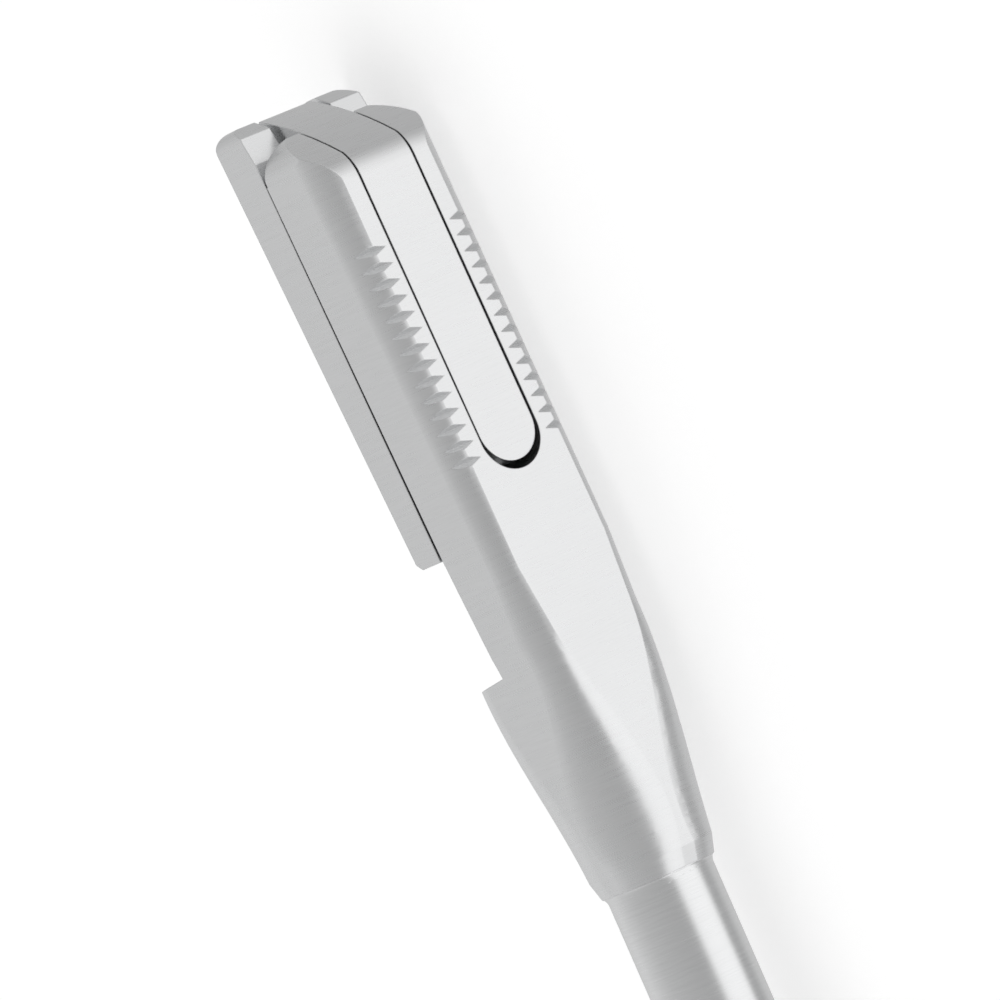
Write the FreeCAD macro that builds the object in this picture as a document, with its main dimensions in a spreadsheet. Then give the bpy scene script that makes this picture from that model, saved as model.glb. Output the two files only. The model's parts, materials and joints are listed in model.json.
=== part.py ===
"""Backward-cutting punch forceps, lying on its side. Millimetres.

+X runs along the shaft to the tip, +Y is the instrument's back, to which the jaw opens, and +Z is up.
The origin lies on the resting face of the handle's hub, below the shaft's axis.
"""

import FreeCAD, Part
import os
import re
import Sketcher

# Driving dimensions: name, value and meaning. "in" after a name means inwards from the tip.
SIZES = {
    "axis_height": (3.5, "shaft axis above the resting face"),
    "reach": (123.0, "front of the hub to the tip"),
    "pivot_back": (13.0, "handle pivot behind the origin"),
    "shaft_line": (5.65, "shaft axis above the handle pivot"),
    "rod_drop": (0.3, "rod axis in front of the shaft axis"),
    "shaft_radius": (2.0, "round shaft"),
    "shaft_bore": (1.15, "bore of the shaft"),
    "spigot_radius": (1.55, "turned end of the shaft in the head"),
    "spigot_length": (3.8, "length of that end"),
    "rod_radius": (0.6, "pull rod"),
    "tip_half": (2.87, "half width of the head at the tip"),
    "block_half": (2.7, "half width of the head where the flare starts"),
    "tip_front": (2.06, "front flat from the shaft axis, at the tip"),
    "block_front": (2.49, "front flat from the shaft axis, where the flare starts"),
    "block_in": (18.0, "start of the flare"),
    "head_back": (2.9, "back of the uncut head block"),
    "corner_cut": (0.6, "width of the head's rounded long corners"),
    "tip_cut": (0.85, "that width at the tip"),
    "corner_turn": (70.0, "turn of a long corner from the side to the front flat, in degrees"),
    "full_turn": (90.0, "that turn behind the shoulder, where no crease is left, in degrees"),
    "shoulder_in": (21.4, "shoulder behind the throat"),
    "flare_in": (20.6, "section where the flare becomes round"),
    "shoulder_front": (2.6, "front there"),
    "shoulder_back": (2.35, "back there"),
    "shoulder_half": (2.66, "half width there"),
    "shoulder_cut": (0.84, "width of the rounded long corners there"),
    "shoulder_round": (1.25, "radius of the back corners there"),
    "shoulder_lean": (0.2, "lean of the shoulder face"),
    "waist_share": (0.32, "second station, as a share of the way from the shoulder to the end"),
    "waist_front": (2.7, "front there"),
    "waist_back": (2.3, "back there"),
    "waist_half": (2.59, "half width there"),
    "waist_round": (1.34, "radius of the back corners there"),
    "waist_flat": (0.94, "half width of the front flat there"),
    "taper_share": (0.68, "third station, as a share of that way"),
    "taper_front": (2.54, "front there"),
    "taper_back": (2.338, "back there"),
    "taper_half": (2.52, "half width there"),
    "taper_round": (2.25, "radius of the back corners there"),
    "taper_flat": (0.219, "half width of the front flat there"),
    "neck_share": (0.92, "last station, as a share of that way"),
    "neck_front": (2.27, "front there"),
    "neck_back": (2.24, "back there"),
    "neck_half": (2.15, "half width there"),
    "neck_round": (1.83, "radius of the back corners there"),
    "neck_flat": (0.32, "half width of the front flat there"),
    "head_length": (29.95, "tip to the end of the neck cone"),
    "cone_half": (2.03, "half width at the end of the neck cone"),
    "cone_flat": (0.3, "half width of the front flat there"),
    "bend_in": (3.27, "end of the front flat, where it rounds into the end dome"),
    "dome_first_in": (2.3, "start of the end dome"),
    "dome_first_front": (1.765, "that start in front of the shaft axis"),
    "crown_in": (0.05, "most distal point of the slide"),
    "crown_back": (1.97, "its distance behind the shaft axis"),
    "dome_radius": (14.7, "curve of the end dome"),
    "nose_round": (1.4, "rounded corners of the rails, seen from the front"),
    "contact_tip": (1.07, "contact face behind the shaft axis, at the tip"),
    "contact_slope": (0.0307, "fall of the contact face per millimetre"),
    "throat_floor": (0.25, "floor of the throat behind the shaft axis, at the shoulder"),
    "slot_half": (1.33, "half width of the slot"),
    "slot_in": (14.9, "round end of the slot"),
    "slide_gap": (0.09, "side play of the slide in the slot"),
    "slide_in": (14.58, "round end of the slide"),
    "slide_sink": (0.04, "slide below the front flat at its round end"),
    "strip_inner": (1.13, "inner face of the slide's strip, in front of the axis"),
    "key_half": (1.66, "half width over the slide's keys"),
    "key_depth": (0.42, "depth of the keys"),
    "key_first_in": (4.9, "distal end of the keys"),
    "key_last_in": (12.4, "proximal end of the keys"),
    "key_play": (0.05, "play of the keys in their grooves"),
    "boss_first_in": (12.2, "distal face of the slide's rod boss"),
    "boss_last_in": (14.2, "proximal face of the slide's rod boss"),
    "boss_back": (0.5, "back face of the boss behind the shaft axis"),
    "rod_first_in": (12.75, "distal end of the rod"),
    "rod_pin_in": (13.35, "cross pin of the rod"),
    "small_pin": (0.3, "radius of the pins in the head"),
    "pin_play": (0.05, "running clearance of the pins"),
    "pin_skin": (0.3, "weld over the ends of the jaw's pins, ground smooth"),
    "jaw_pin_in": (2.35, "jaw pin"),
    "jaw_pin_front": (0.45, "jaw pin in front of the shaft axis"),
    "link_arm": (2.2, "link pin from the jaw pin"),
    "link_angle": (111.0, "direction of that arm with the jaw closed, in degrees"),
    "jaw_opening": (55.0, "full opening of the jaw, in degrees"),
    "eye_round": (0.68, "radius of the hook round the eye's ends"),
    "lug_round": (0.6, "radius of the jaw's lug"),
    "lug_half": (1.15, "half width of the lug and rib"),
    "lug_play": (0.07, "play round the lug"),
    "jaw_length": (16.8, "tip to the free end of the jaw"),
    "jaw_back_tip": (2.88, "back of the jaw behind the shaft axis, at the tip"),
    "jaw_back_slope": (0.0503, "fall of the jaw's back per millimetre"),
    "jaw_end_bevel": (0.25, "bevel of the jaw's free end"),
    "seam_tip": (0.04, "seam between jaw and head, at the tip"),
    "seam_slope": (0.006, "widening of the seam per millimetre"),
    "horn_round": (0.6, "rounded corners of the horns, seen from the back"),
    "horn_crown": (0.4, "rounded back edge of the horns"),
    "fork_half": (1.45, "half width of the gap between the horns"),
    "fork_in": (4.4, "bottom of that gap"),
    "ramp_in": (1.45, "start of the horns' front ramp"),
    "ramp_top_in": (0.4, "end of the ramp"),
    "ramp_top_back": (1.28, "end of the ramp behind the shaft axis"),
    "rib_first_in": (5.2, "distal end of the punch rib"),
    "rib_last_in": (10.1, "proximal end of the punch rib"),
    "rib_front": (0.5, "front of the punch rib, in front of the shaft axis"),
    "tooth_first_in": (5.9, "first groove of the serration"),
    "tooth_pitch": (0.62, "pitch of the serration"),
    "tooth_count": (14, "grooves on each corner"),
    "tooth_depth": (0.22, "depth of a groove below the crease"),
    "tooth_angle": (36.0, "half angle of a groove, in degrees"),
    "tooth_tilt": (25.0, "tilt of the grooves from the front flat's normal, in degrees"),
    "hub_front": (17.0, "front face of the hub before the pivot"),
    "hub_half": (3.5, "half thickness of the hub"),
    "hub_top": (3.25, "top of the hub above the shaft axis"),
    "hub_round": (5.0, "rounded rear corner of the hub"),
    "hub_edge": (0.8, "rounding of the hub's rims"),
    "finger_root": (9.2, "root of the finger arm before the pivot"),
    "thumb_root": (2.6, "root of the thumb arm behind the pivot"),
    "cheek_radius": (6.5, "cheeks round the pivot"),
    "fork_gap": (1.85, "half width of the fork in the hub"),
    "fork_front": (8.6, "front end of the fork before the pivot"),
    "fork_top": (7.6, "top of the fork above the pivot"),
    "tube_back": (7.8, "rear end of the shaft inside the hub"),
    "blade_half": (1.55, "half thickness of the thumb handle's blade"),
    "prong_gap": (0.7, "half width of the gap between the prongs"),
    "prong_half": (1.7, "half width of the prongs"),
    "pivot_boss": (3.1, "blade round the pivot"),
    "pivot_radius": (1.7, "shank of the pivot screw"),
    "pivot_head": (2.9, "head of the pivot screw"),
    "pivot_sink": (0.85, "depth of the recesses of the screw head and nut"),
    "pivot_thread": (1.3, "thread of the pivot screw"),
    "nut_radius": (2.5, "pivot nut"),
    "washer_radius": (3.0, "pivot washers"),
    "washer_thick": (0.25, "thickness of a washer"),
    "lever_pin": (0.75, "pin of the rod end"),
    "handle_opening": (22.0, "full opening of the thumb handle, in degrees"),
    "stop_up": (2.0, "opening stop above the pivot"),
    "stop_radius": (0.8, "opening stop"),
    "stop_play": (0.08, "gap left at the stop with the handle open"),
    "tang_half": (0.6, "half thickness of the rod end's tang"),
    "tang_round": (1.45, "radius of the tang round the eye's ends"),
    "tang_neck_first": (2.8, "rear face of the tang's neck"),
    "tang_neck_last": (4.6, "front face of the tang's neck"),
    "tang_neck": (1.1, "radius of the tang's neck"),
    "lock_nut_half": (1.5, "half of the lock nut across its flats"),
    "lock_nut_thick": (1.1, "thickness of the lock nut"),
    "guide_length": (6.0, "length of a rod guide"),
    "collar_length": (8.0, "shaft collar"),
    "collar_radius": (3.4, "shaft collar"),
    "collar_cut": (0.5, "chamfer of the collar"),
    "set_screw": (0.8, "set screw of the collar"),
    "ring_bore": (11.0, "inside of the rings"),
    "ring_width": (4.3, "section of the rings, outwards"),
    "ring_round": (1.9, "rounding of the rings' section"),
    "finger_ring_fore": (19.0, "finger ring before the pivot"),
    "finger_ring_down": (60.0, "finger ring below the pivot"),
    "thumb_ring_aft": (16.0, "thumb ring behind the pivot"),
    "thumb_ring_down": (61.0, "thumb ring below the pivot"),
    "arm_top": (3.2, "half width of the arms at the hub"),
    "arm_waist": (2.6, "half width of the arms at the rings"),
    "arm_thick": (2.8, "half thickness of the arms"),
    "arm_round": (1.8, "rounding of the arms"),
}

# Places that follow from the driving dimensions.
FORMULAS = {
    "slide_half": "slot_half - slide_gap",
    "front_slope": "(block_front - tip_front) / block_in",
    "side_slope": "(tip_half - block_half) / block_in",
    "bend_front": "tip_front + front_slope * bend_in",
    "bend_run": "bend_in - dome_first_in",
    "bend_rise": "bend_front - dome_first_front",
    "bend_depth": "(bend_run ^ 2 + bend_rise ^ 2) / (2 * (bend_rise - front_slope * bend_run))",
    "dome_mid_x": "-(dome_first_in + crown_in) / 2",
    "dome_mid_y": "(crown_back - dome_first_front) / 2",
    "dome_run": "dome_first_in - crown_in",
    "dome_rise": "crown_back + dome_first_front",
    "dome_chord": "sqrt(dome_run ^ 2 + dome_rise ^ 2)",
    "dome_sink": "sqrt(dome_radius ^ 2 - dome_chord ^ 2 / 4)",
    "dome_x": "dome_mid_x - dome_sink * dome_rise / dome_chord",
    "dome_y": "dome_mid_y + dome_sink * dome_run / dome_chord",
    "contact_pin": "contact_tip - contact_slope * jaw_pin_in",
    "nose_radius": "contact_pin + jaw_pin_front - seam_tip",
    "waist_in": "shoulder_in + waist_share * (head_length - shoulder_in)",
    "taper_in": "shoulder_in + taper_share * (head_length - shoulder_in)",
    "neck_in": "shoulder_in + neck_share * (head_length - shoulder_in)",
    "jaw_pin_half": "tip_half - side_slope * jaw_pin_in - pin_skin",
    "link_pin_half": "tip_half + side_slope * link_x - pin_skin",
    "link_x": "-jaw_pin_in + link_arm * cos(link_angle)",
    "link_y": "-jaw_pin_front + link_arm * sin(link_angle)",
    "eye_up": "link_arm * (1 - sin(link_angle)) + pin_play",
    "eye_down": "link_arm * (sin(link_angle) - sin(link_angle - jaw_opening)) + pin_play",
    "eye_half": "small_pin + pin_play",
    "slide_travel": "link_arm * (cos(link_angle - jaw_opening) - cos(link_angle))",
    "hook_back": "link_y + eye_up + eye_round",
    "hook_front": "link_y - eye_down - eye_round",
    "seam_end": "contact_tip - contact_slope * jaw_length + seam_tip + seam_slope * jaw_length",
    "seam_ramp": "contact_tip - contact_slope * ramp_in + seam_tip + seam_slope * ramp_in",
    "jaw_back_end": "jaw_back_tip - jaw_back_slope * jaw_length",
    "jaw_back_crown": "jaw_back_tip - jaw_back_slope * horn_crown",
    "jaw_side_end": "tip_half - side_slope * jaw_length",
    "rod_line": "shaft_line - rod_drop",
    "lever_drop": "rod_line * (1 - cos(handle_opening)) + pin_play",
    "stop_side": "prong_half + stop_radius + stop_play",
    "stop_fore": "(stop_side + stop_up * sin(handle_opening)) / cos(handle_opening)",
    "ring_outer": "ring_bore + ring_width",
    "tube_front": "reach - head_length",
}

PLACES = {
    "head": ("reach + hub_front - pivot_back", "0"),
    "shaft": ("hub_front - pivot_back", "0"),
    "handle": ("-pivot_back", "-shaft_line"),
}


def bind(text):
    """The formula as an expression on the cells of the sheet."""

    def word(match):
        name = match.group(0)
        if name in FORMULAS:
            return "(" + bind(FORMULAS[name]) + ")"
        if name in SIZES:
            return "Sizes." + name
        return name

    return re.sub(r"[a-z_][a-z_0-9]*", word, text)


def value(text):
    """The formula's present value."""
    return float(sheet.evalExpression(bind(text)))


def new_body(name, place):
    """A body whose own frame lies at one of PLACES, at the height of the shaft axis."""
    body = doc.addObject("PartDesign::Body", name)
    body.Label = name
    across, back = PLACES[place]
    body.setExpression("Placement.Base.x", bind(across))
    body.setExpression("Placement.Base.y", bind(back))
    body.setExpression("Placement.Base.z", bind("axis_height"))
    return body


def new_sketch(body, name, plane, lift, tilt):
    """An empty sketch on one of the body's planes, lifted off it and tilted about its own x axis."""
    made = body.newObject("Sketcher::SketchObject", name)
    base = next(f for f in body.Origin.OriginFeatures if f.Role == plane + "_Plane")
    made.AttachmentSupport = [(base, "")]
    made.MapMode = "FlatFace"
    turn = FreeCAD.Rotation(FreeCAD.Vector(1, 0, 0), tilt)
    made.AttachmentOffset = FreeCAD.Placement(FreeCAD.Vector(), turn)
    for axis, text in zip("xyz", lift):
        if text != "0":
            made.setExpression("AttachmentOffset.Base." + axis, bind(text))
    return made


def fix(made, kind, edge, point, text):
    """Ties one coordinate of a point to the sheet."""
    index = made.addConstraint(Sketcher.Constraint(kind, -1, 1, edge, point, value(text)))
    made.setExpression("Constraints[%d]" % index, bind(text))


def outline(body, name, plane, path, lift=("0", "0", "0"), tilt=0):
    """A closed outline. The path lists points (u, v), with straight sides between them.

    An entry ("about", u, v, way) makes the side to the next point an arc about (u, v), and
    way is "left" where the path turns left along it, and "right" otherwise.
    """
    made = new_sketch(body, name, plane, lift, tilt)
    points = [entry for entry in path if entry[0] != "about"]
    arcs = {}
    for place, entry in enumerate(path):
        if entry[0] == "about":
            arcs[sum(1 for e in path[:place] if e[0] != "about") - 1] = entry
    spots = [FreeCAD.Vector(value(u), value(v), 0) for u, v in points]
    ends = []
    for i, start in enumerate(spots):
        stop = spots[(i + 1) % len(spots)]
        if i not in arcs:
            made.addGeometry(Part.LineSegment(start, stop), False)
            ends.append((1, 2))
            continue
        centre = FreeCAD.Vector(value(arcs[i][1]), value(arcs[i][2]), 0)
        circle = Part.Circle(centre, FreeCAD.Vector(0, 0, 1), (start - centre).Length)
        first, last = (start, stop) if arcs[i][3] == "left" else (stop, start)
        angles = [circle.parameter(first), circle.parameter(last)]
        made.addGeometry(Part.ArcOfCircle(circle, *angles), False)
        ends.append((1, 2) if arcs[i][3] == "left" else (2, 1))
    for i in range(len(spots)):
        before = (i - 1) % len(spots)
        made.addConstraint(Sketcher.Constraint("Coincident", before, ends[before][1], i, ends[i][0]))
        fix(made, "DistanceX", i, ends[i][0], points[i][0])
        fix(made, "DistanceY", i, ends[i][0], points[i][1])
        if i in arcs:
            chord = spots[(i + 1) % len(spots)] - spots[i]
            steep = abs(chord.y) > abs(chord.x)
            fix(made, "DistanceX" if steep else "DistanceY", i, 3, arcs[i][1 if steep else 2])
    return made


def circle_sketch(body, name, plane, centre, radius, lift=("0", "0", "0")):
    """A circle about the point centre, in the sketch's own plane."""
    made = new_sketch(body, name, plane, lift, 0)
    middle = FreeCAD.Vector(value(centre[0]), value(centre[1]), 0)
    made.addGeometry(Part.Circle(middle, FreeCAD.Vector(0, 0, 1), value(radius)), False)
    index = made.addConstraint(Sketcher.Constraint("Radius", 0, value(radius)))
    made.setExpression("Constraints[%d]" % index, bind(radius))
    fix(made, "DistanceX", 0, 3, centre[0])
    fix(made, "DistanceY", 0, 3, centre[1])
    return made


def extrude(body, kind, name, profile, length):
    """A pad or pocket of that whole length, half on each side of its sketch."""
    made = body.newObject("PartDesign::" + kind, name)
    made.Profile = profile
    made.SideType = "Symmetric"
    made.setExpression("Length", bind(length))
    profile.Visibility = False
    return made


def pad(body, name, profile, length):
    """Adds material half on each side of the sketch."""
    return extrude(body, "Pad", name, profile, length)


def pocket(body, name, profile, length):
    """Takes material away half on each side of the sketch."""
    return extrude(body, "Pocket", name, profile, length)


def revolve(body, name, profile, axis="V_Axis"):
    """A full turn of the profile about one of its sketch's axes."""
    made = body.newObject("PartDesign::Revolution", name)
    made.Profile = profile
    made.ReferenceAxis = (profile, [axis])
    made.Angle = 360
    return made


def loft(body, name, sections, ruled):
    """A loft through the sections, with straight walls between them where ruled."""
    made = body.newObject("PartDesign::AdditiveLoft", name)
    made.Profile = sections[0]
    made.Sections = sections[1:]
    made.Ruled = ruled
    return made


def section(body, name, plane, lift, front, back, half, corner, middle="0"):
    """A rectangle with four rounded corners, from -front to back and from -half to half."""
    low, high = "%s - (%s)" % (middle, front), "%s + %s" % (middle, back)
    in_low, in_high = "%s + %s" % (low, corner), "%s - %s" % (high, corner)
    side, under = "%s - %s" % (half, corner), "%s - (%s)" % (corner, half)
    return outline(body, name, plane, [
        (low, under),
        (low, side),
        ("about", in_low, side, "right"),
        (in_low, half),
        (in_high, half),
        ("about", in_high, side, "right"),
        (high, side),
        (high, under),
        ("about", in_high, under, "right"),
        (in_high, "-(%s)" % half),
        (in_low, "-(%s)" % half),
        ("about", in_low, under, "right"),
    ], lift)


def head_section(body, name, inwards, front, back, half, flat, corner, turn="corner_turn"):
    """The head's outline at one distance from the tip.

    The long corners are arcs that run out of the sides and meet the front flat at a crease.
    """
    bend = "(%s - (%s)) / (1 - cos(%s))" % (half, flat, turn)
    rise = "%s * sin(%s) - (%s)" % (bend, turn, front)
    deep, side = "%s - %s" % (half, bend), "%s - %s" % (half, corner)
    inner = "%s - %s" % (back, corner)
    return outline(body, name, "YZ", [
        ("-(%s)" % front, "-(%s)" % flat),
        ("-(%s)" % front, flat),
        ("about", rise, deep, "right"),
        (rise, half),
        (inner, half),
        ("about", inner, side, "right"),
        (back, side),
        (back, "-(%s)" % side),
        ("about", inner, "-(%s)" % side, "right"),
        (inner, "-(%s)" % half),
        (rise, "-(%s)" % half),
        ("about", rise, "-(%s)" % deep, "right"),
    ], ("0", "0", "-(%s)" % inwards))


def drill(body, name, plane, centre, radius, first, last):
    """A round hole between two distances along the plane's normal."""
    middle = "(%s + %s) / 2" % (first, last)
    profile = circle_sketch(body, name + "_circle", plane, centre, radius, ("0", "0", middle))
    return pocket(body, name, profile, "%s - (%s)" % (last, first))


def rod_piece(name, place, plane, centre, radius, first, last):
    """A plain round piece between two distances along the plane's normal."""
    body = new_body(name, place)
    middle = "(%s + %s) / 2" % (first, last)
    profile = circle_sketch(body, name + "_circle", plane, centre, radius, ("0", "0", middle))
    pad(body, name + "_pad", profile, "%s - (%s)" % (last, first))
    return body


doc = FreeCAD.newDocument("punch_forceps")
sheet = doc.addObject("Spreadsheet::Sheet", "Sizes")
for row, (alias, (number, meaning)) in enumerate(SIZES.items(), start=1):
    sheet.set("A%d" % row, meaning)
    sheet.set("B%d" % row, str(number))
    sheet.setAlias("B%d" % row, alias)
doc.recompute()


# Fixed head
BEND = ("-bend_in", "-(bend_front)")
BEND_MIDDLE = ("-bend_in - front_slope * bend_depth", "bend_depth - bend_front")
DOME = ("-dome_first_in", "-dome_first_front")
DOME_MIDDLE = ("dome_x", "dome_y")
CROWN = ("-crown_in", "crown_back")
JAW_PIN = ("-jaw_pin_in", "-jaw_pin_front")
LINK_PIN = ("link_x", "link_y")


def make_head():
    """Chamfered block with slot, throat and serration, flared down to the round neck."""
    body = new_body("punch_head", "head")
    tip_flat, block_flat = "tip_half - tip_cut", "block_half - corner_cut"
    tip = head_section(body, "tip_section", "0", "tip_front", "head_back", "tip_half", tip_flat,
                       "corner_cut")
    end = head_section(body, "block_section", "block_in", "block_front", "head_back", "block_half",
                       block_flat, "corner_cut")
    shoulder = [
        head_section(body, name, "flare_in", "shoulder_front", "shoulder_back", "shoulder_half",
                     "shoulder_half - shoulder_cut", "shoulder_round")
        for name in ("shoulder_section", "flare_start")
    ]
    loft(body, "block", [tip, end, shoulder[0]], True)
    stations = [
        shoulder[1],
        head_section(body, "waist_section", "waist_in", "waist_front", "waist_back", "waist_half",
                     "waist_flat", "waist_round", "full_turn"),
        head_section(body, "taper_section", "taper_in", "taper_front", "taper_back", "taper_half",
                     "taper_flat", "taper_round", "full_turn"),
        head_section(body, "neck_section", "neck_in", "neck_front", "neck_back", "neck_half",
                     "neck_flat", "neck_round", "full_turn"),
    ]
    loft(body, "flare", stations, False)
    cone = [
        head_section(body, "cone_start", "neck_in", "neck_front", "neck_back", "neck_half",
                     "neck_flat", "neck_round", "full_turn"),
        head_section(body, "cone_end", "head_length", "cone_half", "cone_half", "cone_half",
                     "cone_flat", "(cone_half - cone_flat)", "full_turn"),
    ]
    loft(body, "neck_cone", cone, True)
    cut_head_profile(body)
    cut_head_plan(body)
    cut_head_bores(body)
    cut_serration(body, 1)
    cut_serration(body, -1)
    return body


def cut_head_profile(body):
    """End dome, rails rounded about the jaw pin, contact face, throat and shoulder."""
    dome = outline(body, "dome_profile", "XY", [
        BEND, ("-bend_in", "-2 * tip_front"), ("bend_in", "-2 * tip_front"),
        ("bend_in", "crown_back"), CROWN, ("about", *DOME_MIDDLE, "right"), DOME,
        ("about", *BEND_MIDDLE, "right")])
    pocket(body, "dome_cut", dome, "3 * tip_half")
    nose = outline(body, "nose_profile", "XY", [
        ("-jaw_pin_in", "nose_radius - jaw_pin_front"),
        ("about", "-jaw_pin_in", "-jaw_pin_front", "right"),
        ("nose_radius - jaw_pin_in", "-jaw_pin_front"),
        ("bend_in", "-jaw_pin_front"), ("bend_in", "2 * head_back"),
        ("-jaw_pin_in", "2 * head_back")])
    pocket(body, "nose_cut", nose, "3 * tip_half")
    contact = outline(body, "contact_profile", "XY", [
        ("bend_in", "contact_tip + contact_slope * bend_in"), ("bend_in", "2 * head_back"),
        ("-(shoulder_in + 2 * shoulder_lean)", "2 * head_back"),
        ("-(shoulder_in + shoulder_lean)", "shoulder_back"), ("-shoulder_in", "throat_floor"),
        ("-jaw_length", "contact_tip - contact_slope * jaw_length")])
    pocket(body, "contact_cut", contact, "3 * tip_half")


def cut_head_plan(body):
    """Rounded corners of the rails, the U-slot and the grooves for the slide's keys."""
    nose_in = "jaw_pin_in - nose_radius"
    for side, sign in (("left", ""), ("right", "-")):
        edge = "%s(tip_half)" % sign
        inner = "%s(tip_half - nose_round)" % sign
        corner = outline(body, side + "_nose_corner", "XZ", [
            ("-(%s) - nose_round" % nose_in, edge),
            ("about", "-(%s) - nose_round" % nose_in, inner, "right" if side == "left" else "left"),
            ("-(%s)" % nose_in, inner), ("bend_in", inner), ("bend_in", "%s(2 * tip_half)" % sign),
            ("-(%s) - nose_round" % nose_in, "%s(2 * tip_half)" % sign)])
        pocket(body, side + "_nose_cut", corner, "4 * head_back")
    slot = outline(body, "slot_plan", "XZ", [
        ("bend_in", "-slot_half"), ("bend_in", "slot_half"), ("slot_half - slot_in", "slot_half"),
        ("about", "slot_half - slot_in", "0", "left"), ("slot_half - slot_in", "-slot_half")])
    pocket(body, "slot", slot, "4 * head_back")
    groove = outline(body, "groove_profile", "XY", [
        ("-(key_last_in + 0.5)", "-(strip_inner + key_depth + key_play)"),
        ("-(key_first_in - slide_travel - key_play)", "-(strip_inner + key_depth + key_play)"),
        ("-(key_first_in - slide_travel - key_play)", "key_play - strip_inner"),
        ("-(key_last_in + 0.5)", "key_play - strip_inner")])
    pocket(body, "key_grooves", groove, "2 * (key_half + key_play)")


def cut_head_bores(body):
    """Hole of the jaw pin, tunnel of the rod and socket of the shaft."""
    drill(body, "jaw_pin_hole", "XY", JAW_PIN, "small_pin", "-(jaw_pin_half)", "jaw_pin_half")
    drill(body, "rod_tunnel", "YZ", ("-rod_drop", "0"), "rod_radius + 2 * pin_play",
          "-head_length", "-(slot_in - slot_half)")
    drill(body, "shaft_socket", "YZ", ("0", "0"), "spigot_radius",
          "-(head_length + spigot_length)", "-(head_length - spigot_length)")


def cut_serration(body, side):
    """V grooves across the crease of one long corner: side 1 is the left one and -1 the right one.

    The sketch is tilted so that the grooves point straight into the crease, and the row follows
    the crease, which rises with the front flat.
    """
    lean = "cos(tooth_tilt) * %s + sin(tooth_tilt) * (%s - %s)"
    near = lean % ("tip_front", "tip_half", "tip_cut")
    far = lean % ("block_front", "block_half", "corner_cut")
    rise = "(%s - (%s)) / block_in" % (far, near)
    crest = "(%s + (%s) * tooth_first_in)" % (near, rise)
    bottom, brow = "-(%s - tooth_depth)" % crest, "-(%s + 1)" % crest
    spread = "(tooth_depth + 1) * tan(tooth_angle)"
    name = "left" if side > 0 else "right"
    groove = outline(body, name + "_tooth", "XY", [
        ("-tooth_first_in", bottom), ("-tooth_first_in - %s" % spread, brow),
        ("-tooth_first_in + %s" % spread, brow)], tilt=-value("tooth_tilt") * side)
    ends = [("0", "0"), ("-block_in", "-(%s) * block_in" % rise)]
    spots = [FreeCAD.Vector(value(u), value(v), 0) for u, v in ends]
    crease = groove.addGeometry(Part.LineSegment(*spots), True)
    for point, (u, v) in enumerate(ends, start=1):
        fix(groove, "DistanceX", crease, point, u)
        fix(groove, "DistanceY", crease, point, v)
    first = pocket(body, name + "_groove", groove, "6 * corner_cut")
    row = body.newObject("PartDesign::LinearPattern", name + "_serration")
    row.Originals = [first]
    row.Direction = (groove, ["Axis0"])
    row.setExpression("Length", bind("tooth_pitch * (tooth_count - 1)"))
    row.setExpression("Occurrences", bind("tooth_count"))
    body.Tip = row


def make_slide():
    """Tongue that fills the slot, bends over the tip and hooks behind it to the link pin."""
    body = new_body("slide", "head")
    front_end = "-(tip_front + front_slope * slide_in - slide_sink)"
    wall = "lug_round + lug_play - jaw_pin_in"
    profile = outline(body, "slide_profile", "XY", [
        ("-slide_in", front_end), BEND, ("about", *BEND_MIDDLE, "left"), DOME,
        ("about", *DOME_MIDDLE, "left"), CROWN,
        ("-crown_in - horn_crown", "hook_back"), ("link_x", "hook_back"),
        ("about", "link_x", "hook_back - eye_round", "left"),
        ("link_x - eye_round", "hook_back - eye_round"),
        ("link_x - eye_round", "hook_front + eye_round"),
        ("about", "link_x", "hook_front + eye_round", "left"), ("link_x", "hook_front"),
        (wall, "hook_front"), (wall, "-jaw_pin_front"),
        ("about", "-jaw_pin_in", "-jaw_pin_front", "right"),
        ("-jaw_pin_in", "-(jaw_pin_front + lug_round + lug_play)"),
        ("-jaw_pin_in - lug_round", "-strip_inner"), ("-boss_first_in", "-strip_inner"),
        ("-boss_first_in", "boss_back"), ("-boss_last_in", "boss_back"),
        ("-boss_last_in", "-strip_inner"), ("-slide_in", "-strip_inner")])
    pad(body, "strip", profile, "2 * (slide_half)")
    keys = outline(body, "key_profile", "XY", [
        ("-key_last_in", "-(strip_inner + key_depth)"), ("-key_first_in", "-(strip_inner + key_depth)"),
        ("-key_first_in", "-strip_inner"), ("-key_last_in", "-strip_inner")])
    pad(body, "keys", keys, "2 * key_half")
    bow = "(slide_half) - slide_in"
    end = outline(body, "end_plan", "XZ", [
        (bow, "slide_half"), ("about", bow, "0", "left"), (bow, "-(slide_half)"),
        (bow, "-2 * tip_half"), ("-2 * slide_in", "-2 * tip_half"),
        ("-2 * slide_in", "2 * tip_half"), (bow, "2 * tip_half")])
    pocket(body, "round_end", end, "4 * head_back")
    eye = outline(body, "eye_profile", "XY", [
        ("link_x + eye_half", "link_y - eye_down"), ("link_x + eye_half", "link_y + eye_up"),
        ("about", "link_x", "link_y + eye_up", "left"), ("link_x - eye_half", "link_y + eye_up"),
        ("link_x - eye_half", "link_y - eye_down"),
        ("about", "link_x", "link_y - eye_down", "left")])
    pocket(body, "eye", eye, "4 * tip_half")
    drill(body, "rod_hole", "YZ", ("-rod_drop", "0"), "rod_radius", "-2 * slide_in + rod_first_in",
          "-rod_first_in")
    drill(body, "rod_pin_hole", "XY", ("-rod_pin_in", "-rod_drop"), "small_pin",
          "-2 * tip_half", "2 * tip_half")
    return body


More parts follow.
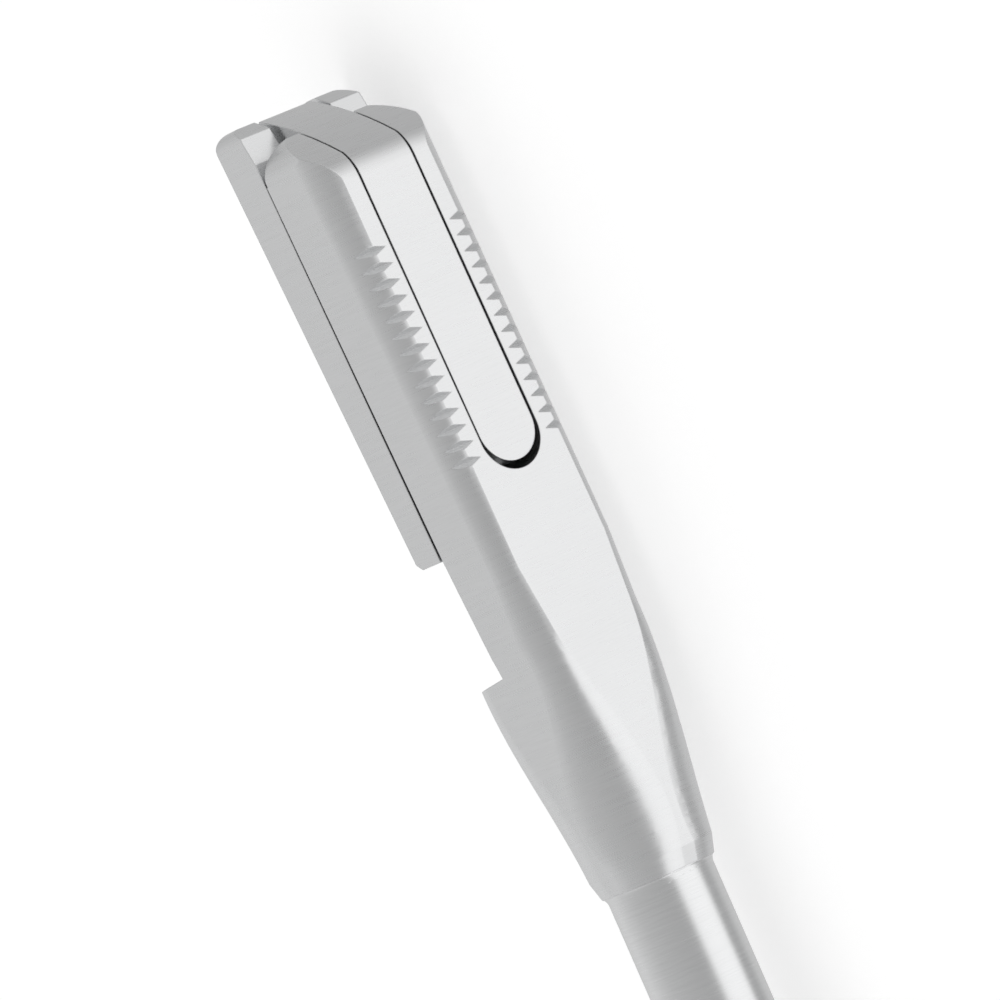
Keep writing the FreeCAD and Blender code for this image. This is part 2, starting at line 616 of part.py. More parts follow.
def make_jaw():
    """Back plate with two horns, and behind the slide a lug on the jaw pin and the punch rib."""
    body = new_body("back_jaw", "head")
    profile = outline(body, "jaw_profile", "XY", [
        ("-jaw_length", "seam_end"), ("-ramp_in", "seam_ramp"), ("-ramp_top_in", "ramp_top_back"),
        ("0", "crown_back"), ("0", "jaw_back_crown - horn_crown"),
        ("about", "-horn_crown", "jaw_back_crown - horn_crown", "left"),
        ("-horn_crown", "jaw_back_crown"),
        ("jaw_end_bevel - jaw_length", "jaw_back_end"),
        ("-jaw_length", "jaw_back_end - jaw_end_bevel")])
    pad(body, "plate", profile, "2 * tip_half")
    for side, sign, way in (("left", "", "right"), ("right", "-", "left")):
        inner = "%s(tip_half - horn_round)" % sign
        shoulder = "%s(tip_half - side_slope * horn_round)" % sign
        beyond = "%s(2 * tip_half)" % sign
        edge = outline(body, side + "_side_plan", "XZ", [
            ("-(jaw_length + 1)", "%s(tip_half - side_slope * (jaw_length + 1))" % sign),
            ("-horn_round", shoulder), ("about", "-horn_round", inner, way), ("0", inner),
            ("bend_in", inner), ("bend_in", beyond), ("-(jaw_length + 1)", beyond)])
        pocket(body, side + "_side_cut", edge, "4 * head_back")
    fork = outline(body, "fork_plan", "XZ", [
        ("bend_in", "-fork_half"), ("bend_in", "fork_half"), ("-fork_in", "fork_half"),
        ("-fork_in", "-fork_half")])
    pocket(body, "fork", fork, "4 * head_back")
    lug = outline(body, "lug_profile", "XY", [
        ("-jaw_pin_in", "-(jaw_pin_front + lug_round)"),
        ("-(rib_first_in - lug_round)", "-(rib_front + lug_round / 2)"),
        ("-rib_first_in", "-rib_front"), ("-rib_last_in", "-rib_front"),
        ("-rib_last_in", "contact_tip + lug_round"), ("-fork_in", "contact_tip + lug_round"),
        ("-fork_in", "lug_round"), ("lug_round - fork_in", "lug_round - jaw_pin_front"),
        ("-jaw_pin_in", "lug_round - jaw_pin_front"),
        ("about", "-jaw_pin_in", "-jaw_pin_front", "right")])
    pad(body, "lug_and_rib", lug, "2 * lug_half")
    drill(body, "jaw_bore", "XY", JAW_PIN, "small_pin + pin_play", "-2 * tip_half", "2 * tip_half")
    drill(body, "link_hole", "XY", LINK_PIN, "small_pin", "-(link_pin_half)", "link_pin_half")
    return body


def make_head_pins():
    """Jaw pin and link pin, welded over at the sides, and the cross pin of the rod."""
    rod_piece("jaw_pin", "head", "XY", JAW_PIN, "small_pin", "-(jaw_pin_half)", "jaw_pin_half")
    rod_piece("link_pin", "head", "XY", LINK_PIN, "small_pin", "-(link_pin_half)", "link_pin_half")
    rod_piece("slide_rod_pin", "head", "XY", ("-rod_pin_in", "-rod_drop"), "small_pin",
              "-(slide_half - slide_gap)", "slide_half - slide_gap")


def make_shaft():
    """Tube with a turned end in the head, the rod in it and the two guides of the rod."""
    body = new_body("shaft_tube", "shaft")
    wall = outline(body, "tube_profile", "XY", [
        ("-tube_back", "shaft_bore"), ("tube_front + spigot_length", "shaft_bore"),
        ("tube_front + spigot_length", "spigot_radius"), ("tube_front", "spigot_radius"),
        ("tube_front", "shaft_radius"), ("-tube_back", "shaft_radius")])
    revolve(body, "tube", wall, "H_Axis")
    rod_hub = "tang_neck_first + 0.5 - hub_front"
    body = rod_piece("pull_rod", "shaft", "YZ", ("-rod_drop", "0"), "rod_radius", rod_hub,
                     "reach - rod_first_in")
    drill(body, "rod_cross_hole", "XY", ("reach - rod_pin_in", "-rod_drop"), "small_pin",
          "-rod_radius - 1", "rod_radius + 1")
    starts = (
        ("rod_guide_rear", "-tube_back"),
        ("rod_guide_front", "tube_front + spigot_length - guide_length"),
    )
    for name, start in starts:
        body = rod_piece(name, "shaft", "YZ", ("0", "0"), "shaft_bore", start,
                         "%s + guide_length" % start)
        drill(body, name + "_bore", "YZ", ("-rod_drop", "0"), "rod_radius + pin_play",
              "%s - 1" % start, "%s + guide_length + 1" % start)


def make_collar():
    """Collar that holds the shaft against the hub, and its set screw."""
    body = new_body("shaft_collar", "shaft")
    wall = outline(body, "collar_profile", "XY", [
        ("0", "shaft_radius"), ("collar_length", "shaft_radius"),
        ("collar_length", "collar_radius - 2 * collar_cut"),
        ("collar_length - collar_cut", "collar_radius - collar_cut"),
        ("collar_length - 3 * collar_cut", "collar_radius"), ("collar_cut", "collar_radius"),
        ("0", "collar_radius - collar_cut")])
    revolve(body, "ring", wall, "H_Axis")
    drill(body, "set_screw_hole", "XY", ("collar_length / 2", "0"), "set_screw",
          "shaft_radius - 1", "collar_radius + 1")
    body = rod_piece("collar_set_screw", "shaft", "XY", ("collar_length / 2", "0"), "set_screw",
                     "shaft_radius", "collar_radius - collar_cut / 2")
    slit = section(body, "slit", "XY", ("0", "0", "collar_radius - collar_cut / 2"), "set_screw",
                   "set_screw", "set_screw / 4", "set_screw / 8", "collar_length / 2")
    pocket(body, "screw_slit", slit, "collar_cut")


def add_ring(body, name, across, down):
    """A handle ring with rounded section, about an axis across the instrument."""
    top = "hub_half - ring_round"
    shape = [
        ("ring_bore", "-(%s)" % top), ("ring_bore", top),
        ("about", "ring_bore + ring_round", top, "right"), ("ring_bore + ring_round", "hub_half"),
        ("ring_outer - ring_round", "hub_half"),
        ("about", "ring_outer - ring_round", top, "right"), ("ring_outer", top),
        ("ring_outer", "-(%s)" % top), ("about", "ring_outer - ring_round", "-(%s)" % top, "right"),
        ("ring_outer - ring_round", "-hub_half"), ("ring_bore + ring_round", "-hub_half"),
        ("about", "ring_bore + ring_round", "-(%s)" % top, "right")]
    profile = outline(body, name + "_section", "XZ", shape, (across, "0", down))
    revolve(body, name, profile)


def add_arm(body, name, root, ring):
    """A tapered arm with rounded section, bowed between its root and the ring that it widens into.

    Root is (across, down, half thickness), and ring is the ring's centre (across, down).
    """
    last = "(%s - ring_bore - 1)" % ring[1]
    stations = [
        (0.0, 0.0, "arm_top", root[2]),
        (0.12, 0.06, "arm_top", "arm_thick"),
        (0.42, 0.2, "(arm_top + arm_waist) / 2", "arm_thick"),
        (0.72, 0.5, "arm_waist", "arm_thick"),
        (0.9, 0.76, "arm_waist * 1.15", "arm_thick"),
        (1.0, 0.88, "arm_waist * 1.6", "arm_thick"),
    ]
    sections = []
    for count, (along, aside, half, thick) in enumerate(stations):
        down = "%s + %s * (%s - %s)" % (root[1], along, last, root[1])
        across = "%s + %s * (%s - (%s))" % (root[0], aside, ring[0], root[0])
        sections.append(section(body, "%s_%d" % (name, count), "XZ", ("0", "0", down), half, half,
                                thick, "arm_round", "(%s)" % across))
    loft(body, name, sections, False)


def round_rims(body, name, base, height, radius):
    """Rounds the rims of a pad's two flat faces, at that height on both sides."""
    doc.recompute()
    level = value(height)
    flats = ["Face%d" % count for count, face in enumerate(base.Shape.Faces, start=1)
             if abs(abs(face.CenterOfMass.z) - level) < 1e-6]
    rims = body.newObject("PartDesign::Fillet", name)
    rims.Base = (base, flats)
    rims.setExpression("Radius", bind(radius))


def make_fixed_handle():
    """Forked hub with the shaft's seat, arm and finger ring."""
    body = new_body("fixed_handle", "handle")
    top = "shaft_line + hub_top"
    foot = "(finger_root + arm_top)"
    run, rise = "(hub_front - %s)" % foot, "(shaft_line - hub_top + cheek_radius)"
    bow = "(%s ^ 2 + %s ^ 2) / (2 * %s)" % (run, rise, run)
    hub = outline(body, "hub_profile", "XY", [
        ("hub_front", top), ("hub_round - cheek_radius - 1", top),
        ("about", "hub_round - cheek_radius - 1", "%s - hub_round" % top, "left"),
        ("-cheek_radius - 1", "%s - hub_round" % top), ("-cheek_radius", "0"),
        ("about", "0", "0", "left"), ("0", "-cheek_radius"), (foot, "-cheek_radius"),
        ("about", "%s + %s" % (foot, bow), "-cheek_radius", "right"),
        ("hub_front", "shaft_line - hub_top")])
    block = pad(body, "hub", hub, "2 * hub_half")
    round_rims(body, "hub_rims", block, "hub_half", "hub_edge")
    add_arm(body, "finger_arm", ("finger_root", "(cheek_radius - 1)", "arm_thick"),
            ("finger_ring_fore", "finger_ring_down"))
    add_ring(body, "finger_ring", "finger_ring_fore", "finger_ring_down")
    fork = outline(body, "fork_profile", "XY", [
        ("fork_front", "fork_top"), ("-2 * cheek_radius", "fork_top"),
        ("-2 * cheek_radius", "-2 * cheek_radius"), ("cheek_radius - 1.2", "-2 * cheek_radius"),
        ("cheek_radius - 1.2", "-2"), ("fork_front", "1.5")])
    pocket(body, "fork", fork, "2 * fork_gap")
    drill(body, "shaft_seat", "YZ", ("shaft_line", "0"), "shaft_radius",
          "fork_front - 1", "hub_front + 1")
    drill(body, "pivot_hole", "XY", ("0", "0"), "pivot_radius", "-2 * hub_half", "2 * hub_half")
    drill(body, "head_recess", "XY", ("0", "0"), "pivot_head",
          "hub_half - pivot_sink", "hub_half + 1")
    drill(body, "nut_recess", "XY", ("0", "0"), "nut_radius",
          "-(hub_half + 1)", "pivot_sink - hub_half")
    drill(body, "stop_hole", "XY", ("stop_fore", "stop_up"), "stop_radius",
          "-2 * hub_half", "2 * hub_half")
    return body


def make_thumb_handle():
    """Blade between the cheeks, with prongs above and arm and thumb ring below."""
    body = new_body("thumb_handle", "handle")
    knee = "sqrt(pivot_boss ^ 2 - prong_half ^ 2)"
    blade = outline(body, "blade_profile", "XY", [
        ("prong_half", "rod_line"), ("about", "0", "rod_line", "left"), ("-prong_half", "rod_line"),
        ("-prong_half", knee), ("about", "0", "0", "left"), ("-pivot_boss", "0"),
        ("-thumb_root - arm_top", "-(cheek_radius + 2.2)"),
        ("arm_top - thumb_root", "-(cheek_radius + 2.2)"),
        ("pivot_boss", "0"), ("about", "0", "0", "left"), ("prong_half", knee)])
    pad(body, "blade", blade, "2 * blade_half")
    add_arm(body, "thumb_arm", ("-thumb_root", "(cheek_radius + 1.5)", "(blade_half + 0.3)"),
            ("-thumb_ring_aft", "thumb_ring_down"))
    add_ring(body, "thumb_ring", "-thumb_ring_aft", "thumb_ring_down")
    slit = outline(body, "slit_profile", "XY", [
        ("-2 * prong_half", "rod_line - lever_drop - tang_round - pin_play"),
        ("2 * prong_half", "rod_line - lever_drop - tang_round - pin_play"),
        ("2 * prong_half", "2 * rod_line"), ("-2 * prong_half", "2 * rod_line")])
    pocket(body, "slit", slit, "2 * prong_gap")
    drill(body, "pivot_bore", "XY", ("0", "0"), "pivot_radius + pin_play",
          "-2 * hub_half", "2 * hub_half")
    drill(body, "lever_pin_hole", "XY", ("0", "rod_line"), "lever_pin",
          "-2 * hub_half", "2 * hub_half")
    return body


def make_pivot():
    """Pivot screw, its nut, the washers on both sides of the blade, the lever pin and the stop."""
    body = new_body("pivot_screw", "handle")
    floor = "hub_half - pivot_sink"
    shank = outline(body, "screw_profile", "XZ", [
        ("0", "-(hub_half - 0.1)"), ("pivot_thread", "-(hub_half - 0.1)"),
        ("pivot_thread", "-(%s)" % floor), ("pivot_radius", "-(%s)" % floor),
        ("pivot_radius", floor), ("pivot_head", floor), ("pivot_head", "hub_half - 0.1"),
        ("pivot_head - 0.3", "hub_half + 0.1"), ("0", "hub_half + 0.1")])
    revolve(body, "screw", shank)
    slit = section(body, "slit", "XY", ("0", "0", "hub_half + 0.1"), "1.5 * pivot_head",
                   "1.5 * pivot_head", "pivot_head / 9", "pivot_head / 20")
    pocket(body, "screw_slit", slit, "pivot_sink")
    body = rod_piece("pivot_nut", "handle", "XY", ("0", "0"), "nut_radius",
                     "-(hub_half - 0.05)", "-(%s)" % floor)
    drill(body, "nut_bore", "XY", ("0", "0"), "pivot_thread", "-(hub_half + 1)", "0")
    for name, first in (("left_washer", "fork_gap - washer_thick"), ("right_washer", "-fork_gap")):
        body = rod_piece(name, "handle", "XY", ("0", "0"), "washer_radius", first,
                         "%s + washer_thick" % first)
        drill(body, name + "_bore", "XY", ("0", "0"), "pivot_radius", "-hub_half", "hub_half")
    body = rod_piece("rod_end_pin", "handle", "XY", ("0", "rod_line"), "lever_pin",
                     "-blade_half", "blade_half")
    body = rod_piece("opening_stop", "handle", "XY", ("stop_fore", "stop_up"), "stop_radius",
                     "-hub_half + 0.05", "hub_half - 0.05")


def make_rod_end():
    """Tang with an elongated eye for the lever pin, and the nut that locks it on the rod."""
    body = new_body("rod_end", "handle")
    low = "rod_line - lever_drop"
    shape = outline(body, "tang_profile", "XY", [
        ("0", "%s - tang_round" % low), ("tang_neck_first", "rod_line - tang_neck"),
        ("tang_neck_first", "rod_line + tang_neck"), ("0", "rod_line + tang_round"),
        ("about", "0", "rod_line", "left"), ("-tang_round", "rod_line"), ("-tang_round", low),
        ("about", "0", low, "left")])
    pad(body, "tang", shape, "2 * tang_half")
    neck = circle_sketch(body, "neck_circle", "YZ", ("rod_line", "0"), "tang_neck",
                         ("0", "0", "(tang_neck_first + tang_neck_last) / 2"))
    pad(body, "neck", neck, "tang_neck_last - tang_neck_first")
    half = "lever_pin + pin_play"
    eye = outline(body, "eye_profile", "XY", [
        (half, low), (half, "rod_line + pin_play"), ("about", "0", "rod_line + pin_play", "left"),
        ("-(%s)" % half, "rod_line + pin_play"), ("-(%s)" % half, low), ("about", "0", low, "left")])
    pocket(body, "eye", eye, "4 * tang_half")
    drill(body, "rod_hole", "YZ", ("rod_line", "0"), "rod_radius", "tang_neck_first + 0.5",
          "tang_neck_last + 1")
    body = new_body("rod_lock_nut", "handle")
    corner = "lock_nut_half * 2 / sqrt(3)"
    across = "lock_nut_half / sqrt(3)"
    hexagon = outline(body, "hexagon", "YZ", [
        ("rod_line + %s" % corner, "0"), ("rod_line + %s" % across, "lock_nut_half"),
        ("rod_line - %s" % across, "lock_nut_half"), ("rod_line - %s" % corner, "0"),
        ("rod_line - %s" % across, "-lock_nut_half"), ("rod_line + %s" % across, "-lock_nut_half")],
        ("0", "0", "tang_neck_last + lock_nut_thick / 2"))
    pad(body, "nut", hexagon, "lock_nut_thick")
    drill(body, "nut_thread", "YZ", ("rod_line", "0"), "rod_radius", "tang_neck_last - 1",
          "tang_neck_last + lock_nut_thick + 1")


make_head()
make_slide()
make_jaw()
make_head_pins()
make_shaft()
make_collar()
make_fixed_handle()
make_thumb_handle()
make_pivot()
make_rod_end()
doc.recompute()

broken = [obj.Name for obj in doc.Objects if {"Invalid", "Error"} & set(obj.State)]
if broken:
    raise RuntimeError("these features did not build: " + ", ".join(broken))
pieces = [obj for obj in doc.Objects if obj.TypeId == "PartDesign::Body"]
for piece in pieces:
    if piece.Shape.isNull() or not piece.Shape.isValid() or not piece.Shape.Solids:
        raise RuntimeError("this piece has no valid solid: " + piece.Label)
os.makedirs("parts", exist_ok=True)
for piece in pieces:
    piece.Shape.exportStep(os.path.join("parts", piece.Label + ".step"))
    print(piece.Label, len(piece.Shape.Solids), round(piece.Shape.Volume, 3))
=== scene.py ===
"""Looks of a backward-cutting punch forceps: satin steel head, shaft and ring handles.

Lengths are in metres in the CAD frame: +X to the tip, +Y to the instrument's back and +Z up.
"""

import json
import logging
import math
from dataclasses import dataclass
from enum import Enum

import bpy
import numpy as np
from mathutils import Matrix, Vector

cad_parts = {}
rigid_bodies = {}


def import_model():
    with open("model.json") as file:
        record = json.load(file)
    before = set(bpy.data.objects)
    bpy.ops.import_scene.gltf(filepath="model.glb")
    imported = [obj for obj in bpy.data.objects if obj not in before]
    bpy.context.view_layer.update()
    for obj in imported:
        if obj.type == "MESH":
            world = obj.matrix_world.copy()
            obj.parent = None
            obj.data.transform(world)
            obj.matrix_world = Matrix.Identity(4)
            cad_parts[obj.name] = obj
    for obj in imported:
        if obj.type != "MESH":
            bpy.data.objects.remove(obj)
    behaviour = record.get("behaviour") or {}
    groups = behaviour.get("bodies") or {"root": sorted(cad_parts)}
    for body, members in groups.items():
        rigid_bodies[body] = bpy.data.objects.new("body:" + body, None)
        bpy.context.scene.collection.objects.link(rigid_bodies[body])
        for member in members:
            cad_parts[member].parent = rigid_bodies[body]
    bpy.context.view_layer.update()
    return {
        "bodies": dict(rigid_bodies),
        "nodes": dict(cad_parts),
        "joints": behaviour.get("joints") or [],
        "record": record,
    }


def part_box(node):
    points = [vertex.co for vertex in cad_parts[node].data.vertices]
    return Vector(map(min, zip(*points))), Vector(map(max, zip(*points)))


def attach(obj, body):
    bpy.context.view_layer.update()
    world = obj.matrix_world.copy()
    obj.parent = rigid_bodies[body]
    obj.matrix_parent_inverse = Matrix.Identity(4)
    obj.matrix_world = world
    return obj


LOG = logging.getLogger("punch_forceps")
MM = 0.001
RIM_LEAST = 1.8 * MM
RIM_SLACK = 0.001 * MM
WHITE = (1.0, 1.0, 1.0, 1.0)


class Lay(Enum):
    """Grain of a finished surface: lines across the instrument's length, or none."""

    ACROSS = "across"
    BLASTED = "blasted"


@dataclass(frozen=True)
class SteelFinish:
    """A stainless steel surface with its grain, haze and softened edges.

    Attributes:
        name: Name of the material.
        colour: Linear base colour of the metal.
        roughness: Middle roughness of the surface.
        spread: Half range of the roughness over the grain.
        lay: Direction of the grain.
        grain: Width of a grain line in metres.
        relief: Depth of the grain lines in metres.
        edge: Radius of the softened edges in metres.
        haze: Size of the cloudy patches left by polishing, in metres.
        drawn: Length of a grain line over its width.
        span: Values of the noise between which the roughness runs.
        tint_span: Values of the noise between which the colour runs.
        shade: Share of the colour that is left in the grain's valleys.
        cloudy: Share of the roughness's range that the haze adds.
    """

    name: str
    colour: tuple[float, float, float]
    roughness: float
    spread: float
    lay: Lay
    grain: float
    relief: float
    edge: float
    haze: float
    drawn: float = 28.0
    span: tuple[float, float] = (0.3, 0.7)
    tint_span: tuple[float, float] = (0.32, 0.6)
    shade: float = 0.95
    cloudy: float = 0.35

    def stretch(self) -> tuple[float, float, float]:
        """Scales of the grain pattern along X, Y and Z, per metre."""
        fine = 1.0 / self.grain
        slow = fine / self.drawn if self.lay is Lay.ACROSS else fine
        return fine, slow, slow

    def build(self) -> bpy.types.Material:
        """Makes the node material.

        Returns:
            The material: object coordinates are stretched along the grain, one noise makes the
            lines and a wide one the haze, and both drive roughness, colour and bump.
        """
        material = bpy.data.materials.new(self.name)
        material.use_nodes = True
        tree = material.node_tree
        tree.nodes.clear()
        link = tree.links.new
        place = tree.nodes.new("ShaderNodeTexCoord")
        stretched = tree.nodes.new("ShaderNodeMapping")
        stretched.inputs["Scale"].default_value = self.stretch()
        link(place.outputs["Object"], stretched.inputs["Vector"])
        lines = noise(tree, 1.0, 4.0, 0.62)
        link(stretched.outputs["Vector"], lines.inputs["Vector"])
        patches = noise(tree, 1.0 / self.haze, 3.0, 0.55)
        link(place.outputs["Object"], patches.inputs["Vector"])
        low, high = self.roughness - self.spread, self.roughness + self.spread
        rough = mapped(tree, lines.outputs["Fac"], self.span, (low, high))
        swing = self.cloudy * self.spread
        cloud = mapped(tree, patches.outputs["Fac"], self.span, (-swing, swing))
        both = calculated(tree, "ADD", rough, cloud)
        tint = tree.nodes.new("ShaderNodeMix")
        tint.data_type = "RGBA"
        dark = tuple(self.shade * part for part in self.colour)
        tint.inputs["A"].default_value = (*dark, 1.0)
        tint.inputs["B"].default_value = (*self.colour, 1.0)
        link(mapped(tree, lines.outputs["Fac"], self.tint_span, (0.0, 1.0)), tint.inputs["Factor"])
        soft = tree.nodes.new("ShaderNodeBevel")
        soft.samples = 6
        soft.inputs["Radius"].default_value = self.edge
        bump = tree.nodes.new("ShaderNodeBump")
        bump.inputs["Distance"].default_value = self.relief
        bump.inputs["Strength"].default_value = 1.0
        link(lines.outputs["Fac"], bump.inputs["Height"])
        link(soft.outputs["Normal"], bump.inputs["Normal"])
        metal = tree.nodes.new("ShaderNodeBsdfPrincipled")
        metal.inputs["Metallic"].default_value = 1.0
        link(tint.outputs["Result"], metal.inputs["Base Color"])
        link(both, metal.inputs["Roughness"])
        link(bump.outputs["Normal"], metal.inputs["Normal"])
        out = tree.nodes.new("ShaderNodeOutputMaterial")
        link(metal.outputs["BSDF"], out.inputs["Surface"])
        return material


def noise(tree: bpy.types.NodeTree, scale: float, detail: float, rough: float) -> bpy.types.Node:
    """A three-dimensional noise node."""
    node = tree.nodes.new("ShaderNodeTexNoise")
    node.inputs["Scale"].default_value = scale
    node.inputs["Detail"].default_value = detail
    node.inputs["Roughness"].default_value = rough
    return node


def mapped(
    tree: bpy.types.NodeTree,
    source: bpy.types.NodeSocket,
    span: tuple[float, float],
    result: tuple[float, float],
) -> bpy.types.NodeSocket:
    """Maps a value from one range to another, clamped at both ends.

    Args:
        tree: The nodes of a material or of the surroundings.
        source: The value to map.
        span: Lowest and highest value of the source.
        result: Result at the lowest and at the highest value.

    Returns:
        The socket that holds the result.
    """
    node = tree.nodes.new("ShaderNodeMapRange")
    names = ("From Min", "From Max", "To Min", "To Max")
    for name, number in zip(names, (*span, *result)):
        node.inputs[name].default_value = number
    tree.links.new(source, node.inputs["Value"])
    return node.outputs["Result"]


def calculated(
    tree: bpy.types.NodeTree,
    operation: str,
    first: bpy.types.NodeSocket,
    second: bpy.types.NodeSocket,
) -> bpy.types.NodeSocket:
    """Result of one operation on two values."""
    node = tree.nodes.new("ShaderNodeMath")
    node.operation = operation
    tree.links.new(first, node.inputs[0])
    tree.links.new(second, node.inputs[1])
    return node.outputs["Value"]


HEAD_STEEL = SteelFinish(
    name="satin_head",
    colour=(0.85, 0.855, 0.86),
    roughness=0.29,
    spread=0.03,
    lay=Lay.ACROSS,
    grain=0.05 * MM,
    relief=0.0008 * MM,
    edge=0.06 * MM,
    haze=4.0 * MM,
)
SHAFT_STEEL = SteelFinish(
    name="satin_shaft",
    colour=(0.86, 0.865, 0.87),
    roughness=0.25,
    spread=0.03,
    lay=Lay.ACROSS,
    grain=0.06 * MM,
    relief=0.0007 * MM,
    edge=0.05 * MM,
    haze=6.0 * MM,
)
HANDLE_STEEL = SteelFinish(
    name="satin_handle",
    colour=(0.82, 0.825, 0.83),
    roughness=0.32,
    spread=0.05,
    lay=Lay.BLASTED,
    grain=0.3 * MM,
    relief=0.006 * MM,
    edge=0.3 * MM,
    haze=9.0 * MM,
)
PIN_STEEL = SteelFinish(
    name="ground_pins",
    colour=(0.86, 0.86, 0.87),
    roughness=0.24,
    spread=0.04,
    lay=Lay.BLASTED,
    grain=0.12 * MM,
    relief=0.003 * MM,
    edge=0.05 * MM,
    haze=3.0 * MM,
)


@dataclass(frozen=True)
class Dressed:
    """A sub-assembly of CAD nodes that share a finish.

    Attributes:
        title: Name in the log.
        finish: Finish of its nodes.
        nodes: Its CAD nodes.
    """

    title: str
    finish: SteelFinish
    nodes: tuple[str, ...]

    def dress(self, found: dict[str, bpy.types.Object]) -> bpy.types.Material:
        """Gives the finish to every node.

        Args:
            found: The CAD nodes by name.

        Returns:
            The finish's material.
        """
        material = bpy.data.materials.get(self.finish.name) or self.finish.build()
        for name in self.nodes:
            mesh = found[name].data
            mesh.materials.clear()
            mesh.materials.append(material)
            LOG.info("%s: %s in %s", self.title, name, self.finish.name)
        return material


def grid_mesh(name: str, points: np.ndarray, close_u: bool, close_v: bool) -> bpy.types.Object:
    """Makes a surface from a grid of points.

    The quad at (i, j) joins the points (i, j), (i+1, j), (i+1, j+1) and (i, j+1), and a closed
    direction also joins the last row or column to the first.

    Args:
        name: Name of the object.
        points: Points in metres, shaped (rows, columns, 3).
        close_u: Whether the rows close.
        close_v: Whether the columns close.

    Returns:
        The smooth-shaded object.
    """
    rows, columns = points.shape[:2]
    i, j = np.meshgrid(
        np.arange(rows if close_u else rows - 1),
        np.arange(columns if close_v else columns - 1),
        indexing="ij",
    )
    right, above = (i + 1) % rows, (j + 1) % columns
    quads = np.stack(
        [i * columns + j, right * columns + j, right * columns + above, i * columns + above], axis=-1
    ).reshape(-1, 4)
    mesh = bpy.data.meshes.new(name)
    mesh.from_pydata(points.reshape(-1, 3).tolist(), [], quads.tolist())
    mesh.polygons.foreach_set("use_smooth", np.ones(len(mesh.polygons), dtype=bool))
    mesh.update()
    made = bpy.data.objects.new(name, mesh)
    bpy.context.scene.collection.objects.link(made)
    return made


@dataclass
class RodThread:
    """Thread on the rear end of the pull rod, in front of the lock nut.

    Attributes:
        centre: Point of the axis at the thread's rear end, in metres.
        run: Length of the thread.
        pitch: Pitch of the thread.
        core: Radius at the thread's root.
        crest: Radius at the thread's crest.
        around: Points round the axis.
        per_pitch: Points along one pitch.
        ends: Share of the run over which the crest rises, as one over this number.
    """

    centre: tuple[float, float, float]
    run: float = 2.4 * MM
    pitch: float = 0.25 * MM
    core: float = 0.53 * MM
    crest: float = 0.62 * MM
    around: int = 40
    per_pitch: int = 10
    ends: float = 12.0

    def build(self, finish: bpy.types.Material) -> bpy.types.Object:
        """Makes the thread as one surface round the axis.

        The radius at angle a and distance x is the core plus the depth times a rounded triangle
        wave of x / pitch minus a / (2 pi), and it fades to the core at both ends.

        Args:
            finish: The material.

        Returns:
            The object.
        """
        along = int(self.run / self.pitch * self.per_pitch)
        angle = np.linspace(0, 2 * np.pi, self.around, endpoint=False)
        reach = np.linspace(0, 1, along)
        a, t = np.meshgrid(angle, reach, indexing="ij")
        phase = (t * self.run / self.pitch - a / (2 * np.pi)) % 1.0
        wave = 0.5 - 0.5 * np.cos(2 * np.pi * phase)
        fade = np.clip(np.minimum(t, 1 - t) * self.ends, 0, 1)
        radius = self.core + (self.crest - self.core) * wave * fade
        x = self.centre[0] + t * self.run
        y = self.centre[1] + radius * np.cos(a)
        z = self.centre[2] + radius * np.sin(a)
        made = grid_mesh("rod_thread", np.stack([x, y, z], axis=-1), True, False)
        made.data.materials.append(finish)
        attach(made, "slide_unit")
        return made


@dataclass
class NeckSolder:
    """Fillet of solder between the rear rim of the head and the shaft.

    Attributes:
        centre: Point of the shaft's axis at the end of the neck, in metres.
        rim: Points of the head's rear rim as (angle, radius), by rising angle.
        radius: Radius of the shaft.
        leg: Least length of the fillet along the shaft.
        slant: Length along the shaft that each step from the rim to the shaft adds to the leg.
        sink: Depth by which its hidden sides sink into head and shaft.
        feather: Depth by which its rear end dips below the shaft's skin.
        around: Points round the shaft.
        along: Points along the leg.
    """

    centre: tuple[float, float, float]
    rim: np.ndarray
    radius: float = 2.0 * MM
    leg: float = 0.14 * MM
    slant: float = 1.4
    sink: float = 0.03 * MM
    feather: float = 0.006 * MM
    around: int = 160
    along: int = 9

    def build(self, finish: bpy.types.Material) -> bpy.types.Object:
        """Makes the fillet as one closed skin round the shaft.

        At share t of its leg the radius is the shaft's plus the rim's step times
        1 - sqrt(1 - (1 - t)^2), a quarter of a hollow ellipse, less t times the feather.

        Args:
            finish: The material.

        Returns:
            The object.
        """
        angle = np.linspace(-np.pi, np.pi, self.around, endpoint=False)
        rim = np.interp(angle, self.rim[:, 0], self.rim[:, 1], period=2 * np.pi)
        step = (rim - self.radius)[:, None]
        share = np.linspace(0, 1, self.along)[None, :]
        hollow = self.radius + step * (1 - np.sqrt(1 - (1 - share) ** 2))
        hollow = hollow - self.feather * share
        back = -(self.leg + self.slant * step) * share
        low = np.full_like(step, self.radius - self.sink)
        radius = np.hstack([low, rim[:, None] - self.sink / 2, hollow, low])
        ahead = np.full_like(step, self.sink)
        x = self.centre[0] + np.hstack([ahead, ahead, back, back[:, -1:]])
        y = self.centre[1] + radius * np.cos(angle)[:, None]
        z = self.centre[2] + radius * np.sin(angle)[:, None]
        made = grid_mesh("neck_solder", np.stack([x, y, z], axis=-1), True, True)
        made.data.materials.append(finish)
        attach(made, "frame_unit")
        return made


